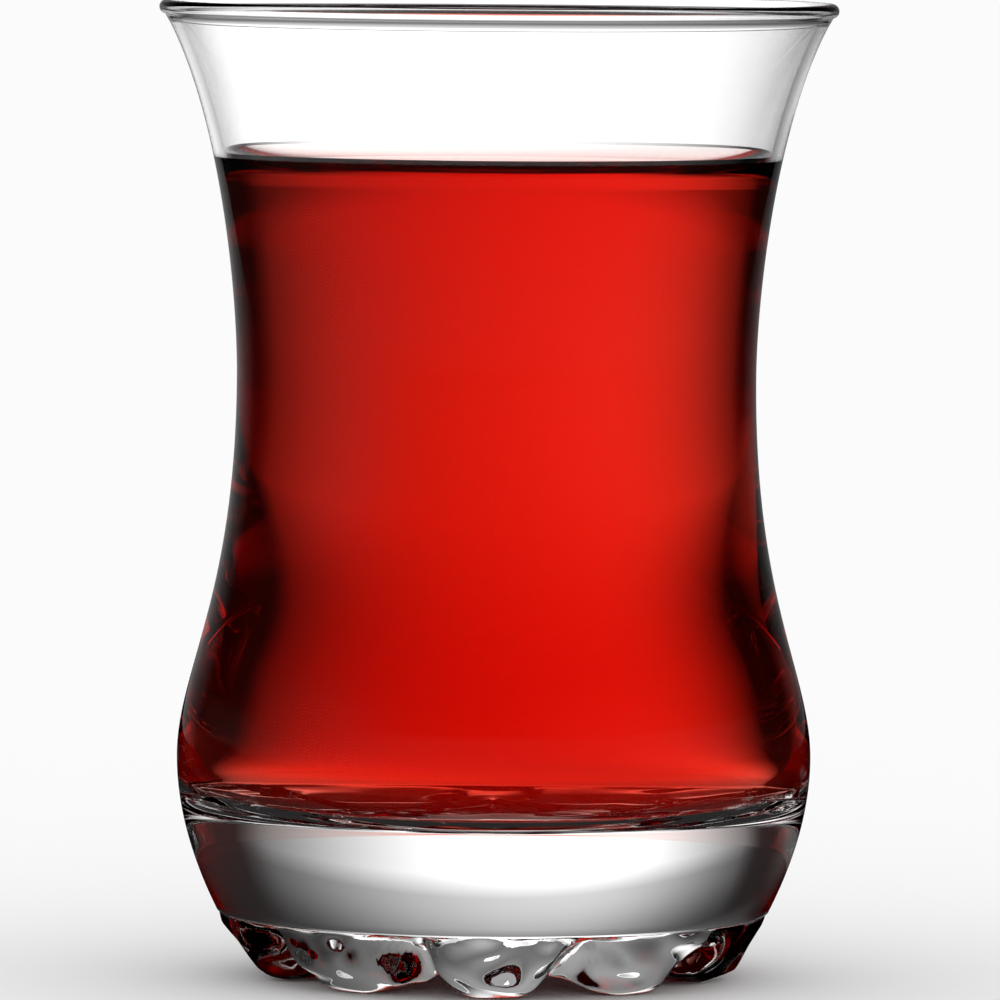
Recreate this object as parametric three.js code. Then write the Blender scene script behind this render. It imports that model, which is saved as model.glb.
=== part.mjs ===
// A waisted tea glass on petal-shaped feet, filled with tea, in millimetres.
// +Z is up, the floor is z = 0 and the glass stands on its axis of revolution.
import * as THREE from 'three';

// Driving dimensions of the outside
const HEIGHT = 89;
const RIM_RADIUS = 30.9;
const NECK_RADIUS = 29.9;
const NECK_HEIGHT = HEIGHT - 2.1;
const WAIST_RADIUS = 23.65;
const WAIST_HEIGHT = 54.8;
const BELLY_RADIUS = 28.9;
const BELLY_HEIGHT = 20.2;

// The rolled bead along the rim
const BEAD_RADIUS = 0.65;
const BEAD_CENTRE_RADIUS = RIM_RADIUS - BEAD_RADIUS;
const BEAD_CENTRE_HEIGHT = HEIGHT - BEAD_RADIUS;

// The ring where the smooth body ends, and the petal feet below it
const RING_RADIUS = 25.2;
const RING_HEIGHT = 6.2;
const RING_STEP = 0.35;
const PETAL_COUNT = 9;
const PETAL_WIDTH = 11.6;
const FOOT_FLAT_WIDTH = 2.8;
const FOOT_OUTER = 19.9;
const FOOT_INNER = 17.8;
const UNDERSIDE_HEIGHT = 3;

// The inside and the tea in it
const NECK_WALL = 1.05;
const WAIST_WALL = 1.4;
const BELLY_WALL = 2;
const INNER_BELLY_HEIGHT = 23;
const FLOOR_HEIGHT = 15.6;
const FLOOR_FLAT_RADIUS = 19;
const TEA_LEVEL = 73.8;
const MENISCUS_HEIGHT = 1.6;
const MENISCUS_WIDTH = 2.4;
const CLEARANCE = 0.3;

const SEGMENTS = PETAL_COUNT * 10;
const TEA_SEGMENTS = 60;

const point = (radius, height) => new THREE.Vector2(radius, height);

// Samples of a curve; the first one is dropped where the curve before it ends there.
function continued(curve, steps) {
  return curve.getPoints(steps).slice(1);
}

// The underside and the outer face of a petal, along its crest, from the axis to the ring.
function crestLine() {
  const underside = new THREE.QuadraticBezierCurve(
    point(0, UNDERSIDE_HEIGHT), point(12, UNDERSIDE_HEIGHT), point(FOOT_INNER, 0));
  const outerFace = new THREE.QuadraticBezierCurve(
    point(FOOT_OUTER, 0), point(22.7, 2.1), point(RING_RADIUS - RING_STEP, RING_HEIGHT - RING_STEP));
  return [...underside.getPoints(4), ...outerFace.getPoints(5)];
}

// The outer wall from the ring over belly and waist to just under the bead.
function outerWall() {
  const belly = new THREE.QuadraticBezierCurve(
    point(RING_RADIUS, RING_HEIGHT), point(BELLY_RADIUS, 13.6), point(BELLY_RADIUS, BELLY_HEIGHT));
  const shoulder = new THREE.CubicBezierCurve(
    point(BELLY_RADIUS, BELLY_HEIGHT), point(BELLY_RADIUS, BELLY_HEIGHT + 7.7),
    point(WAIST_RADIUS, WAIST_HEIGHT - 20.4), point(WAIST_RADIUS, WAIST_HEIGHT));
  const flare = new THREE.CubicBezierCurve(
    point(WAIST_RADIUS, WAIST_HEIGHT), point(WAIST_RADIUS, WAIST_HEIGHT + 8),
    point(NECK_RADIUS - 4.5, NECK_HEIGHT - 8.7), point(NECK_RADIUS, NECK_HEIGHT));
  return [...belly.getPoints(5), ...continued(shoulder, 7), ...continued(flare, 6)];
}

// The bead, from its foot on the outside over the top to the inside.
function beadArc() {
  const arc = new THREE.EllipseCurve(BEAD_CENTRE_RADIUS, BEAD_CENTRE_HEIGHT,
    BEAD_RADIUS, BEAD_RADIUS, -Math.PI / 4, Math.PI);
  return arc.getPoints(5);
}

// The inner wall from under the bead down to the middle of the floor.
function innerWall() {
  const neck = point(NECK_RADIUS - NECK_WALL, NECK_HEIGHT + 0.3);
  const waist = point(WAIST_RADIUS - WAIST_WALL, WAIST_HEIGHT);
  const belly = point(BELLY_RADIUS - BELLY_WALL, INNER_BELLY_HEIGHT);
  const flare = new THREE.CubicBezierCurve(neck, point(neck.x - 4.5, neck.y - 8.7),
    point(waist.x, waist.y + 8), waist);
  const shoulder = new THREE.CubicBezierCurve(waist, point(waist.x, waist.y - 18.5),
    point(belly.x, belly.y + 6.5), belly);
  const corner = new THREE.CubicBezierCurve(belly, point(belly.x, belly.y - 4.6),
    point(FLOOR_FLAT_RADIUS + 4, FLOOR_HEIGHT), point(FLOOR_FLAT_RADIUS, FLOOR_HEIGHT));
  return [...flare.getPoints(6), ...continued(shoulder, 6), ...continued(corner, 5),
    point(0, FLOOR_HEIGHT)];
}

// How far a spot beside a petal's crest has left the petal: 0 on its crest, 1 in the gap.
function gapShare(sideways) {
  const flat = FOOT_FLAT_WIDTH / 2;
  const share = (Math.abs(sideways) - flat) / (PETAL_WIDTH / 2 - flat);
  const clamped = Math.min(Math.max(share, 0), 1);
  return 1 - Math.sqrt(1 - clamped * clamped);
}

// Height of the round bottom from which the petals stand out.
function bottomHeight(radius) {
  return UNDERSIDE_HEIGHT + (RING_HEIGHT - UNDERSIDE_HEIGHT) * (radius / RING_RADIUS) ** 3;
}

// Lifts the first profile points into the gaps, so that only the petals reach the floor.
function formPetals(lathe, pointsPerColumn, petalPoints) {
  const pitch = (2 * Math.PI) / PETAL_COUNT;
  const positions = lathe.attributes.position;
  for (let index = 0; index < positions.count; index += 1) {
    if (index % pointsPerColumn < petalPoints) {
      const column = Math.floor(index / pointsPerColumn);
      const angle = (column * 2 * Math.PI) / SEGMENTS;
      const offCrest = angle - Math.round(angle / pitch) * pitch;
      const radius = Math.hypot(positions.getX(index), positions.getZ(index));
      const crest = positions.getY(index);
      const rise = (bottomHeight(radius) - crest) * gapShare(radius * offCrest);
      positions.setY(index, crest + rise);
    }
  }
}

function glassMesh() {
  const crest = crestLine();
  const profile = [...crest, ...outerWall(), ...beadArc(), ...innerWall()];
  const lathe = new THREE.LatheGeometry(profile, SEGMENTS);
  formPetals(lathe, profile.length, crest.length);
  lathe.rotateX(Math.PI / 2);
  const clear = new THREE.MeshStandardMaterial({ color: 0xeaf0ee, roughness: 0.03, metalness: 0 });
  const mesh = new THREE.Mesh(lathe, clear);
  mesh.name = 'glass';
  return mesh;
}

// Inner radius of the glass at a height, on the straight pieces between its profile points.
function innerRadius(wall, height) {
  const below = wall.findIndex((spot) => spot.y <= height);
  const upper = wall[below - 1];
  const lower = wall[below];
  return lower.x + (upper.x - lower.x) * (height - lower.y) / (upper.y - lower.y);
}

function teaMesh() {
  const wall = innerWall();
  const edge = innerRadius(wall, TEA_LEVEL + MENISCUS_HEIGHT) - CLEARANCE;
  const sides = wall
    .filter((spot) => spot.y < TEA_LEVEL - 1)
    .map((spot) => point(Math.max(spot.x - CLEARANCE, 0), spot.y + CLEARANCE))
    .reverse();
  const surface = [
    point(edge, TEA_LEVEL + MENISCUS_HEIGHT),
    point(edge - 0.25 * MENISCUS_WIDTH, TEA_LEVEL + 0.4 * MENISCUS_HEIGHT),
    point(edge - MENISCUS_WIDTH, TEA_LEVEL),
    point(0, TEA_LEVEL),
  ];
  const lathe = new THREE.LatheGeometry([...sides, ...surface], TEA_SEGMENTS);
  lathe.rotateX(Math.PI / 2);
  const red = new THREE.MeshStandardMaterial({ color: 0xb0140f, roughness: 0.05, metalness: 0 });
  const mesh = new THREE.Mesh(lathe, red);
  mesh.name = 'tea';
  return mesh;
}

const part = new THREE.Group();
part.add(glassMesh());
part.add(teaMesh());

export default part;
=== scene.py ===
# Looks of a waisted tea glass on petal feet, filled with red tea, in metres.
import math

import bpy
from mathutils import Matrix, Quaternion, Vector, noise


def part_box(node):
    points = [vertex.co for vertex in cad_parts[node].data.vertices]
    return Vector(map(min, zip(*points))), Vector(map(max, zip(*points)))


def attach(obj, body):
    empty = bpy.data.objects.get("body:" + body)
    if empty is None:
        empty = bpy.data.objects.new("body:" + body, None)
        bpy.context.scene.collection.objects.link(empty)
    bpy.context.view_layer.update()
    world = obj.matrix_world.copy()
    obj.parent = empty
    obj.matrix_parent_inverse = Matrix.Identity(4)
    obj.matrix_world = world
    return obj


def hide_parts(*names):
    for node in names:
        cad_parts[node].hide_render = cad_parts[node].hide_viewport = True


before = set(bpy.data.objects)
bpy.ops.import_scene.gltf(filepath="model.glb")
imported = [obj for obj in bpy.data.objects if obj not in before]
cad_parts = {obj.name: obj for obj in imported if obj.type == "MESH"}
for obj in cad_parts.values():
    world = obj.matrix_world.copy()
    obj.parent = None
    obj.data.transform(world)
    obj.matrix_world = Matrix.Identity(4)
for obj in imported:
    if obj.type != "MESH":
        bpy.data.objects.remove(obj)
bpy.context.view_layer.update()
GLASS_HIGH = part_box("glass")[1]
MM = 0.001

# Outside of the glass, as in the solids
HEIGHT = GLASS_HIGH.z
RIM_RADIUS = GLASS_HIGH.y
NECK_RADIUS = 29.9 * MM
NECK_HEIGHT = HEIGHT - 2.1 * MM
WAIST_RADIUS = 23.65 * MM
WAIST_HEIGHT = 54.8 * MM
BELLY_RADIUS = 28.9 * MM
BELLY_HEIGHT = 20.2 * MM
BEAD_RADIUS = 0.65 * MM
BEAD_START = math.radians(-80)
BEAD_END = math.radians(170)

# How the outside bends between them, as handles of its curves
BELLY_BEND_HEIGHT = 13.6 * MM
SHOULDER_LOW_HANDLE = 7.7 * MM
SHOULDER_HIGH_HANDLE = 20.4 * MM
FLARE_LOW_HANDLE = 8 * MM
FLARE_HANDLE_IN = 4.5 * MM
FLARE_HANDLE_DOWN = 8.7 * MM

# The ring where the smooth body ends, and the petal feet below it
RING_RADIUS = 25.2 * MM
RING_HEIGHT = 6.2 * MM
RING_STEP = 0.35 * MM
RING_FOOT = (RING_RADIUS - RING_STEP, RING_HEIGHT - RING_STEP)
PETAL_COUNT = 9
PETAL_WIDTH = 11.6 * MM
PETAL_ROUNDING = 0.8 * MM
FOOT_FLAT_WIDTH = 2.2 * MM
FOOT_OUTER = 19.3 * MM
FOOT_INNER = 18.2 * MM
FACE_LOW_HANDLE = (21 * MM, 0)
FACE_HIGH_HANDLE = (23.4 * MM, 3.2 * MM)
UNDERSIDE_HEIGHT = 3 * MM
UNDERSIDE_INNER_HANDLE = (10 * MM, UNDERSIDE_HEIGHT)
UNDERSIDE_OUTER_HANDLE = (15.2 * MM, 0)

# Waves pressed into the petals, which fade towards the floor, the ring and the axis
PRESSED_WAVE = 1.3 * MM
PRESSED_WAVE_LENGTH = 4 * MM
FADE_ABOVE_FLOOR = 1.5 * MM
FADE_BELOW_RING = 1 * MM
FADE_FROM_AXIS = 15 * MM
DIAGONAL = 0.7

# The inside of the glass
NECK_WALL = 0.85 * MM
WAIST_WALL = 1.4 * MM
BELLY_WALL = 2 * MM
INNER_NECK_RISE = 0.6 * MM
INNER_BELLY_HEIGHT = 23 * MM
INNER_FLARE_HANDLE_DOWN = 9 * MM
INNER_SHOULDER_HIGH_HANDLE = 18.5 * MM
INNER_SHOULDER_LOW_HANDLE = 6.5 * MM
CORNER_HIGH_HANDLE = 4.6 * MM
CORNER_LOW_HANDLE = 4 * MM
FLOOR_HEIGHT = 15.6 * MM
FLOOR_FLAT_RADIUS = 19 * MM

# The tea, which reaches just into the wall and is drawn up along it
TEA_LEVEL = 73.6 * MM
MENISCUS_HEIGHT = 1.8 * MM
MENISCUS_REACH = 2.3 * MM
CONTACT_HEIGHT = TEA_LEVEL + MENISCUS_HEIGHT
INTO_WALL = 0.012 * MM
SHEET_LIFT = 0.02 * MM
SURFACE_STEPS = 40
SURFACE_CROWDING = 2.5

# Fineness of the meshes
SEGMENTS = PETAL_COUNT * 32
SAME_SPOT = 1e-7
ON_AXIS = 1e-9

# Refraction: the wetted wall bends light by the ratio of glass to tea
GLASS_IOR = 1.5
TEA_IOR = 1.333
WET_IOR = GLASS_IOR / TEA_IOR
TEA_DENSITY = 130
TEA_COLOUR = (0.9, 0.165, 0.02, 1)
RIPPLE_DEPTH = 0.02 * MM
RIPPLE_SCALE = 60

# The camera, with angles in degrees
CAMERA_DISTANCE = 1.05
CAMERA_HEIGHT = 110 * MM
CAMERA_AIM = Vector((0.4 * MM, 0, 43.6 * MM))
CAMERA_ROLL = 0.45
CAMERA_FIELD = 4.96
SENSOR_WIDTH = 36

# The floor, the sky, and the sizes of the stage that only the glass shows
FLOOR_RADIUS = 12
FLOOR_COLOUR = (0.92, 0.92, 0.92, 1)
SKY_STRENGTH = 1.05
# The black sheet of painted shade that the glass reflects in place of the lit table
CARD_RADIUS = 2
CARD_LIFT = 0.2 * MM
DISC_CORNERS = 96
TENT_RADIUS = 0.6
TENT_CENTRE = 40 * MM
TENT_LOWEST = -10
TENT_HIGHEST = 90
TENT_COLUMNS = 180
TENT_LEVELS = 60
TABLE_RINGS = 80
TABLE_LIFT = 0.1 * MM
ROW_CROWDING = 1.5

# Panels of light: azimuth of the middle, then the widths to its left and right, in degrees.
# Azimuth 0 is behind the glass and 90 on its right, as the camera sees it.
BACK_PANEL = (-9, 22, 30)
CEILING = (-9, 32, 32)
LEFT_PANEL = (-106, 26, 31)
FRONT_PANEL = (135, 30, 30)
PANEL_END = 1.7
PANEL_FULL = 1.4
PANEL_TOP = 10
UPPER_SHARE = 0.5
UPPER_FADE = 8
CEILING_LOWER_EDGE = (20, 26)
CEILING_UPPER_EDGE = (60, 35)

# How bright they are
LIGHT = 1.5
REFLECTED_SHARE = 0.15
CEILING_SHARE = 0.26
LEFT_SHARE = 0.6
FRONT_SHARE = 0.22
TABLE_SHARE = 0.6
TRACE = 0.015 * LIGHT

# The table in the glass, as painted light: a lit wedge behind it, narrowest at its waist, and painted
# light on the other sides
WEDGE_AZIMUTH = -1
WEDGE_START = 0.019
WEDGE_WAIST = 0.06
WEDGE_WAIST_SPREAD = 0.33
WEDGE_GROWTH = 3.2
# Painted light on the table beside and before the glass: where it sets in on each side of the panel,
# and over how many degrees it rises
TABLE_LIGHT_FROM_LEFT = 28
TABLE_LIGHT_FROM_RIGHT = 60
TABLE_LIGHT_FADE = 45
FAR_TABLE = (0.15, 0.55)
# Painted shadow: distances from the axis over which the table's glow rises from nothing under the
# glass and close round it
SHADOW_UNDER_GLASS = (0.03, 0.04)


def bezier(controls, steps):
    """Points along the Bezier curve of any number of control points."""
    curve = []
    for step in range(steps + 1):
        row = [Vector(control) for control in controls]
        while len(row) > 1:
            row = [a.lerp(b, step / steps) for a, b in zip(row, row[1:])]
        curve.append(row[0])
    return curve


def joined(*curves):
    """One line of points, without the double ones where a curve starts at the end of the last."""
    line = []
    for curve in curves:
        for spot in curve:
            if not line or (spot - line[-1]).length > SAME_SPOT:
                line.append(spot)
    return line


def crest_line():
    """Underside and outer face of a petal along its crest, from the axis to the ring."""
    underside = bezier(
        [
            (0, UNDERSIDE_HEIGHT),
            UNDERSIDE_INNER_HANDLE,
            UNDERSIDE_OUTER_HANDLE,
            (FOOT_INNER, 0),
        ],
        steps=22,
    )
    face = bezier([(FOOT_OUTER, 0), FACE_LOW_HANDLE, FACE_HIGH_HANDLE, RING_FOOT], steps=28)
    return joined(underside, face)


def outer_wall():
    """The outside from the ring over belly and waist to just under the bead."""
    ring = bezier([RING_FOOT, (RING_RADIUS, RING_HEIGHT)], steps=4)
    belly = bezier(
        [
            (RING_RADIUS, RING_HEIGHT),
            (BELLY_RADIUS, BELLY_BEND_HEIGHT),
            (BELLY_RADIUS, BELLY_HEIGHT),
        ],
        steps=24,
    )
    shoulder = bezier(
        [
            (BELLY_RADIUS, BELLY_HEIGHT),
            (BELLY_RADIUS, BELLY_HEIGHT + SHOULDER_LOW_HANDLE),
            (WAIST_RADIUS, WAIST_HEIGHT - SHOULDER_HIGH_HANDLE),
            (WAIST_RADIUS, WAIST_HEIGHT),
        ],
        steps=36,
    )
    flare = bezier(
        [
            (WAIST_RADIUS, WAIST_HEIGHT),
            (WAIST_RADIUS, WAIST_HEIGHT + FLARE_LOW_HANDLE),
            (NECK_RADIUS - FLARE_HANDLE_IN, NECK_HEIGHT - FLARE_HANDLE_DOWN),
            (NECK_RADIUS, NECK_HEIGHT),
        ],
        steps=36,
    )
    return joined(ring[1:], belly, shoulder, flare)


def bead_arc(steps=24):
    """The rolled rim, from its foot on the outside over the top to the inside."""
    arc = []
    for step in range(steps + 1):
        angle = BEAD_START + (BEAD_END - BEAD_START) * step / steps
        radius = RIM_RADIUS - BEAD_RADIUS + BEAD_RADIUS * math.cos(angle)
        height = HEIGHT - BEAD_RADIUS + BEAD_RADIUS * math.sin(angle)
        arc.append(Vector((radius, height)))
    return arc


def inner_wall():
    """The inside from under the bead down to the middle of the floor."""
    neck = Vector((NECK_RADIUS - NECK_WALL, NECK_HEIGHT + INNER_NECK_RISE))
    waist = Vector((WAIST_RADIUS - WAIST_WALL, WAIST_HEIGHT))
    belly = Vector((BELLY_RADIUS - BELLY_WALL, INNER_BELLY_HEIGHT))
    flare = bezier(
        [
            neck,
            neck - Vector((FLARE_HANDLE_IN, INNER_FLARE_HANDLE_DOWN)),
            waist + Vector((0, FLARE_LOW_HANDLE)),
            waist,
        ],
        steps=60,
    )
    shoulder = bezier(
        [
            waist,
            waist - Vector((0, INNER_SHOULDER_HIGH_HANDLE)),
            belly + Vector((0, INNER_SHOULDER_LOW_HANDLE)),
            belly,
        ],
        steps=34,
    )
    corner = bezier(
        [
            belly,
            belly - Vector((0, CORNER_HIGH_HANDLE)),
            (FLOOR_FLAT_RADIUS + CORNER_LOW_HANDLE, FLOOR_HEIGHT),
            (FLOOR_FLAT_RADIUS, FLOOR_HEIGHT),
        ],
        steps=26,
    )
    flat = bezier([corner[-1], (0, FLOOR_HEIGHT)], steps=5)
    return joined(flare, shoulder, corner, flat)


def gap_share(sideways):
    """How far a spot beside a petal's crest has left the petal: 0 on its crest, 1 in the gap."""
    flat = FOOT_FLAT_WIDTH / 2
    share = share_of(abs(sideways), flat, PETAL_WIDTH / 2)
    return 1 - math.sqrt(1 - share * share)


def soft_gap_share(sideways, reach=3):
    """The same with its edges rounded, as in pressed and fire-polished glass."""
    total = 0
    weights = 0
    for step in range(-reach, reach + 1):
        weight = reach + 1 - abs(step)
        total += weight * gap_share(sideways + PETAL_ROUNDING * step / reach)
        weights += weight
    return total / weights


def petal_height(radius, angle, crest):
    """Height of the underside: the crest of a petal, or the round bottom in the gaps."""
    pitch = 2 * math.pi / PETAL_COUNT
    off_crest = angle - round(angle / pitch) * pitch
    bottom = UNDERSIDE_HEIGHT + (RING_HEIGHT - UNDERSIDE_HEIGHT) * (radius / RING_RADIUS) ** 3
    return crest + (bottom - crest) * soft_gap_share(radius * off_crest)


def wave_share(radius, height):
    """How much of the pressed waves a spot of a petal has, from 0 to 1."""
    above_floor = height / FADE_ABOVE_FLOOR
    below_ring = (RING_HEIGHT - height) / FADE_BELOW_RING
    return max(min(above_floor, below_ring, radius / FADE_FROM_AXIS, 1), 0)


def petal_spot(spot, angle):
    """Radius and height of a petal's surface, with the slow waves of pressed glass."""
    height = petal_height(spot.x, angle, spot.y)
    place = Vector((spot.x * math.sin(angle), spot.x * math.cos(angle), height))
    wave = PRESSED_WAVE * noise.noise(place / PRESSED_WAVE_LENGTH) * wave_share(spot.x, height)
    return spot.x + DIAGONAL * wave, height - DIAGONAL * wave


def revolve(name, profile, spot_at=None):
    """A mesh object swept round the axis, and the profile step of each of its faces.

    A profile point on the axis becomes one vertex. spot_at may move a point by its angle.
    """
    vertices, rows = [], []
    for index, spot in enumerate(profile):
        rows.append([])
        steps = 1 if spot.x < ON_AXIS else SEGMENTS
        for step in range(steps):
            angle = 2 * math.pi * step / SEGMENTS
            radius, height = spot_at(index, spot, angle) if spot_at else spot
            rows[-1].append(len(vertices))
            vertices.append((radius * math.sin(angle), -radius * math.cos(angle), height))
    faces, bands = [], []
    for band, (low, high) in enumerate(zip(rows, rows[1:])):
        for step in range(SEGMENTS):
            after = (step + 1) % SEGMENTS
            corners = [low[step % len(low)], low[after % len(low)]]
            corners += [high[after % len(high)], high[step % len(high)]]
            faces.append(list(dict.fromkeys(corners)))
            bands.append(band)
    return mesh_object(name, vertices, faces), bands


def mesh_object(name, vertices, faces):
    mesh = bpy.data.meshes.new(name)
    mesh.from_pydata(vertices, [], faces)
    mesh.shade_smooth()
    thing = bpy.data.objects.new(name, mesh)
    bpy.context.collection.objects.link(thing)
    return thing


def new_material(name):
    material = bpy.data.materials.new(name)
    material.use_nodes = True
    return material


def clear_material(name, ior):
    """Smooth clear glass or liquid."""
    material = new_material(name)
    shader = material.node_tree.nodes["Principled BSDF"]
    shader.inputs["Base Color"].default_value = (1, 1, 1, 1)
    shader.inputs["Roughness"].default_value = 0
    shader.inputs["IOR"].default_value = ior
    shader.inputs["Transmission Weight"].default_value = 1
    return material


def glass_material(name, ior):
    """Clear glass with slow shallow ripples in its surface."""
    material = clear_material(name, ior)
    nodes = material.node_tree.nodes
    links = material.node_tree.links
    place = nodes.new("ShaderNodeTexCoord")
    waves = nodes.new("ShaderNodeTexNoise")
    waves.inputs["Scale"].default_value = RIPPLE_SCALE
    waves.inputs["Detail"].default_value = 1
    bump = nodes.new("ShaderNodeBump")
    bump.inputs["Distance"].default_value = RIPPLE_DEPTH
    links.new(place.outputs["Object"], waves.inputs["Vector"])
    links.new(waves.outputs["Fac"], bump.inputs["Height"])
    links.new(bump.outputs["Normal"], nodes["Principled BSDF"].inputs["Normal"])
    return material


def tea_material():
    """Tea inside the glass: it only takes up light, because the wetted wall bends it."""
    material = clear_material("tea", 1)
    nodes = material.node_tree.nodes
    absorb = nodes.new("ShaderNodeVolumeAbsorption")
    absorb.inputs["Color"].default_value = TEA_COLOUR
    absorb.inputs["Density"].default_value = TEA_DENSITY
    material.node_tree.links.new(absorb.outputs["Volume"], nodes["Material Output"].inputs["Volume"])
    return material


def make_glass():
    """The glass as one closed surface, whose wetted inside has a material of its own."""
    crest = crest_line()
    inside = inner_wall()
    profile = crest + outer_wall() + bead_arc() + inside

    def spot_at(index, spot, angle):
        return petal_spot(spot, angle) if index < len(crest) else spot

    piece, bands = revolve("tea_glass", profile, spot_at)
    piece.data.materials.append(glass_material("clear_glass", GLASS_IOR))
    piece.data.materials.append(glass_material("wetted_glass", WET_IOR))
    first_inside = len(profile) - len(inside)
    for face, band in zip(piece.data.polygons, bands):
        if band >= first_inside and profile[band].y < CONTACT_HEIGHT:
            face.material_index = 1
    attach(piece, "root")
    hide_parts("glass")


def surface_line(edge):
    """The tea's surface from the wall to the axis, drawn up along the wall."""
    line = []
    for step in range(SURFACE_STEPS + 1):
        inward = edge * (step / SURFACE_STEPS) ** SURFACE_CROWDING
        rise = MENISCUS_HEIGHT * math.exp(-inward / MENISCUS_REACH)
        line.append(Vector((edge - inward, TEA_LEVEL + rise)))
    return line


def make_tea():
    """The tea, which reaches just into the wall, and the sheet where it meets the air."""
    wet = [spot for spot in inner_wall() if spot.y < CONTACT_HEIGHT]
    sides = [Vector((s.x + INTO_WALL if s.x else 0, s.y - INTO_WALL)) for s in wet]
    surface = surface_line(wet[0].x + INTO_WALL)
    body, _ = revolve("tea_body", sides[::-1] + surface)
    body.data.materials.append(tea_material())
    lifted = [spot + Vector((0, SHEET_LIFT)) for spot in surface]
    sheet, _ = revolve("tea_surface", lifted)
    sheet.data.materials.append(clear_material("tea_surface", TEA_IOR))
    for piece in (body, sheet):
        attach(piece, "root")
    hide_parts("tea")


def stage_mesh(name, vertices, faces, material):
    thing = mesh_object(name, vertices, faces)
    thing.data.materials.append(material)
    return thing


def disc(name, radius, height, material):
    vertices = []
    for corner in range(DISC_CORNERS):
        angle = 2 * math.pi * corner / DISC_CORNERS
        vertices.append((radius * math.cos(angle), radius * math.sin(angle), height))
    return stage_mesh(name, vertices, [list(range(DISC_CORNERS))], material)


def floor_material():
    material = new_material("pale_floor")
    shader = material.node_tree.nodes["Principled BSDF"]
    shader.inputs["Base Color"].default_value = FLOOR_COLOUR
    shader.inputs["Roughness"].default_value = 1
    shader.inputs["Specular IOR Level"].default_value = 0
    return material


# Black for the sheet of painted shade that the glass reflects in place of the lit table
def reflected_shade_material():
    material = new_material("black_reflected_shade")
    shader = material.node_tree.nodes["Principled BSDF"]
    shader.inputs["Base Color"].default_value = (0, 0, 0, 1)
    shader.inputs["Specular IOR Level"].default_value = 0
    return material


def glow_material(name):
    """Light that leaves each spot as strong as the mesh's glow attribute says."""
    material = new_material(name)
    nodes = material.node_tree.nodes
    links = material.node_tree.links
    nodes.remove(nodes["Principled BSDF"])
    glow = nodes.new("ShaderNodeAttribute")
    glow.attribute_name = "glow"
    light = nodes.new("ShaderNodeEmission")
    material.cycles.emission_sampling = "NONE"
    links.new(glow.outputs["Fac"], light.inputs["Strength"])
    links.new(light.outputs["Emission"], nodes["Material Output"].inputs["Surface"])
    return material


def only_in_glass(thing, reflected=True, refracted=True):
    """Lets a card show in the glass alone: it is no backdrop, light or shade for anything else."""
    thing.visible_camera = False
    thing.visible_diffuse = False
    thing.visible_shadow = False
    thing.visible_volume_scatter = False
    thing.visible_glossy = reflected
    thing.visible_transmission = refracted


def share_of(value, start, end):
    """How far a value has come from start to end, from 0 to 1."""
    return min(max((value - start) / (end - start), 0), 1)


def hill(angle, centre, left_width, right_width):
    """A soft hill along the azimuth, in degrees, which ends at a multiple of its widths."""
    off = (angle - centre + 180) % 360 - 180
    share = off / (right_width if off > 0 else left_width)
    return math.exp(-share * share) * share_of(abs(share), PANEL_END, PANEL_FULL)


def fade_upwards(elevation):
    """Share of a panel's light at an elevation in degrees: half above its edge, then fading."""
    edge = min(max(PANEL_TOP - elevation, UPPER_SHARE), 1)
    above = max(elevation - PANEL_TOP, 0) / UPPER_FADE
    return edge * math.exp(-above * above)


def back_glow(azimuth, elevation):
    """Brightness of the light panel behind the glass, which fades to its sides and upwards."""
    return LIGHT * hill(azimuth, *BACK_PANEL) * fade_upwards(elevation)


def faint_back_glow(azimuth, elevation):
    """The same panel as the glass reflects it."""
    return REFLECTED_SHARE * back_glow(azimuth, elevation)


def ceiling_glow(azimuth, elevation):
    """Dim wide light above the panel behind the glass, which the petals show."""
    height = share_of(elevation, *CEILING_LOWER_EDGE) * share_of(elevation, *CEILING_UPPER_EDGE)
    return CEILING_SHARE * LIGHT * hill(azimuth, *CEILING) * height


def side_glow(azimuth):
    """Brightness of paler panels on the left and in front, for the other views."""
    left = LEFT_SHARE * hill(azimuth, *LEFT_PANEL)
    front = FRONT_SHARE * hill(azimuth, *FRONT_PANEL)
    return LIGHT * (left + front)


def all_round_glow(azimuth, elevation):
    """All the panels around the glass, and a trace of light between them."""
    panels = back_glow(azimuth, elevation) + side_glow(azimuth) * fade_upwards(elevation)
    return panels + ceiling_glow(azimuth, elevation) + TRACE


def table_light_beside(azimuth):
    """Painted light of the table beside and before the glass, which sets in on each side of the panel.
    """
    off = (azimuth + 180) % 360 - 180
    past = off - TABLE_LIGHT_FROM_RIGHT if off > 0 else -off - TABLE_LIGHT_FROM_LEFT
    return TABLE_SHARE * LIGHT * share_of(past, 0, TABLE_LIGHT_FADE)


def wedge_glow(azimuth, distance):
    """Brightness of the lit wedge, which spreads to the width of the panel that it leads to."""
    grown = WEDGE_WAIST_SPREAD + WEDGE_GROWTH * (distance - WEDGE_WAIST)
    spread = min(max(WEDGE_START / distance, grown), 1)
    panel_azimuth, left_width, right_width = BACK_PANEL
    centre = WEDGE_AZIMUTH + (panel_azimuth - WEDGE_AZIMUTH) * spread
    return LIGHT * hill(azimuth, centre, left_width * spread, right_width * spread)


def table_glow(azimuth, distance):
    """Brightness of the table in the glass, with a painted shadow right under it."""
    far = share_of(distance, *FAR_TABLE)
    # painted light beside the glass near it, which passes into the side panels' glow further out
    beside_light = (1 - far) * table_light_beside(azimuth) + far * side_glow(azimuth)
    lit = max(wedge_glow(azimuth, distance), beside_light)
    # painted shadow: the glow fades out right under the glass
    return lit * share_of(distance, *SHADOW_UNDER_GLASS) + TRACE


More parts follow.
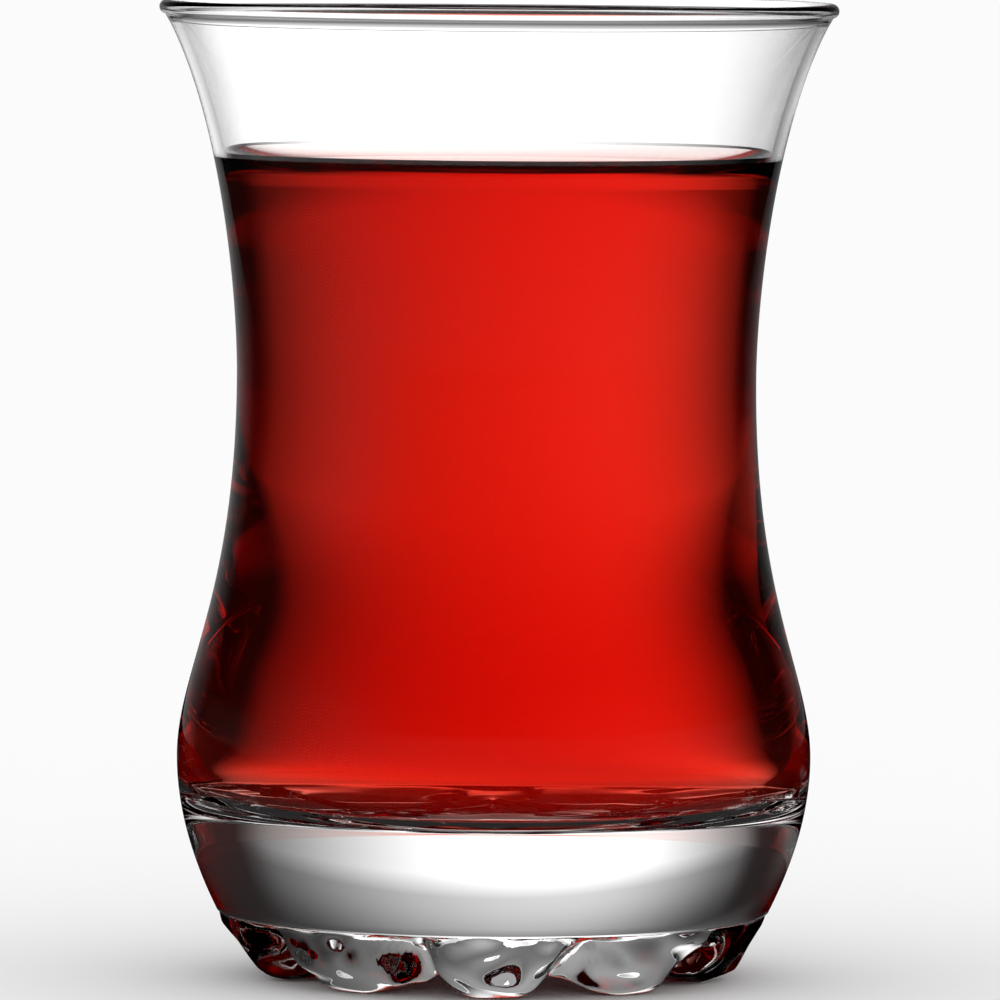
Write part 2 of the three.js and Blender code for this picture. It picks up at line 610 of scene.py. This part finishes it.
def glow_grid(name, spots, material):
    """A sheet through rows of (place, glow) spots that go all the way round."""
    vertices = [place for place, _ in spots]
    faces = []
    for low in range(0, len(spots) - TENT_COLUMNS, TENT_COLUMNS):
        high = low + TENT_COLUMNS
        for column in range(TENT_COLUMNS):
            after = (column + 1) % TENT_COLUMNS
            faces.append((low + column, low + after, high + after, high + column))
    sheet = stage_mesh(name, vertices, faces, material)
    attribute = sheet.data.attributes.new("glow", "FLOAT", "POINT")
    attribute.data.foreach_set("value", [glow for _, glow in spots])
    return sheet


def glow_ring(radius, height, glow_at, measure):
    """One row of (place, glow) spots, which glow by azimuth and one more measure."""
    spots = []
    for column in range(TENT_COLUMNS):
        azimuth = 360 * column / TENT_COLUMNS
        turn = math.radians(azimuth)
        place = (radius * math.sin(turn), radius * math.cos(turn), height)
        spots.append((place, glow_at(azimuth, measure)))
    return spots


def dome(name, glow_at, material):
    """A dome around the glass that glows by azimuth and elevation."""
    spots = []
    for level in range(TENT_LEVELS + 1):
        rise = (level / TENT_LEVELS) ** ROW_CROWDING
        elevation = TENT_LOWEST + (TENT_HIGHEST - TENT_LOWEST) * rise
        height = TENT_CENTRE + TENT_RADIUS * math.sin(math.radians(elevation))
        radius = TENT_RADIUS * math.cos(math.radians(elevation))
        spots += glow_ring(radius, height, glow_at, elevation)
    return glow_grid(name, spots, material)


def lit_table(name, glow_at, material):
    """A sheet just above the floor that glows by azimuth and distance."""
    spots = []
    for ring in range(TABLE_RINGS + 1):
        distance = TABLE_LIFT + TENT_RADIUS * (ring / TABLE_RINGS) ** ROW_CROWDING
        spots += glow_ring(distance, TABLE_LIFT, glow_at, distance)
    return glow_grid(name, spots, material)


def make_tent():
    """Graded light around and under the glass, which only the glass shows."""
    material = glow_material("graded_light")
    only_in_glass(dome("reflected_panel", faint_back_glow, material), refracted=False)
    only_in_glass(dome("refracted_panels", all_round_glow, material), reflected=False)
    only_in_glass(lit_table("refracted_table", table_glow, material), reflected=False)


def make_sky():
    world = bpy.data.worlds.new("studio")
    world.use_nodes = True
    sky = world.node_tree.nodes["Background"]
    sky.inputs["Color"].default_value = (1, 1, 1, 1)
    sky.inputs["Strength"].default_value = SKY_STRENGTH
    bpy.context.scene.world = world


def make_studio():
    disc("floor", FLOOR_RADIUS, 0, floor_material())
    # Painted shade in the glass's reflections: a black sheet over the floor that only the glass
    # reflects
    card = disc("table_shade_in_reflections", CARD_RADIUS, CARD_LIFT, reflected_shade_material())
    only_in_glass(card, refracted=False)
    make_tent()
    make_sky()


def make_camera():
    data = bpy.data.cameras.new("camera")
    data.sensor_width = SENSOR_WIDTH
    data.lens = SENSOR_WIDTH / 2 / math.tan(math.radians(CAMERA_FIELD / 2))
    camera = bpy.data.objects.new("camera", data)
    bpy.context.collection.objects.link(camera)
    camera.location = (CAMERA_AIM.x, -CAMERA_DISTANCE, CAMERA_HEIGHT)
    look = (CAMERA_AIM - camera.location).to_track_quat("-Z", "Y")
    roll = Quaternion(Vector((0, 0, 1)), math.radians(CAMERA_ROLL))
    camera.rotation_mode = "QUATERNION"
    camera.rotation_quaternion = look @ roll
    bpy.context.scene.camera = camera


def set_light_paths():
    """Enough bounces for light to pass through glass and tea and back."""
    scene = bpy.context.scene
    scene.view_settings.view_transform = "Standard"
    scene.cycles.max_bounces = 20
    scene.cycles.transmission_bounces = 20
    scene.cycles.glossy_bounces = 16
    scene.cycles.diffuse_bounces = 2


make_camera()
make_glass()
make_tea()
make_studio()
set_light_paths()
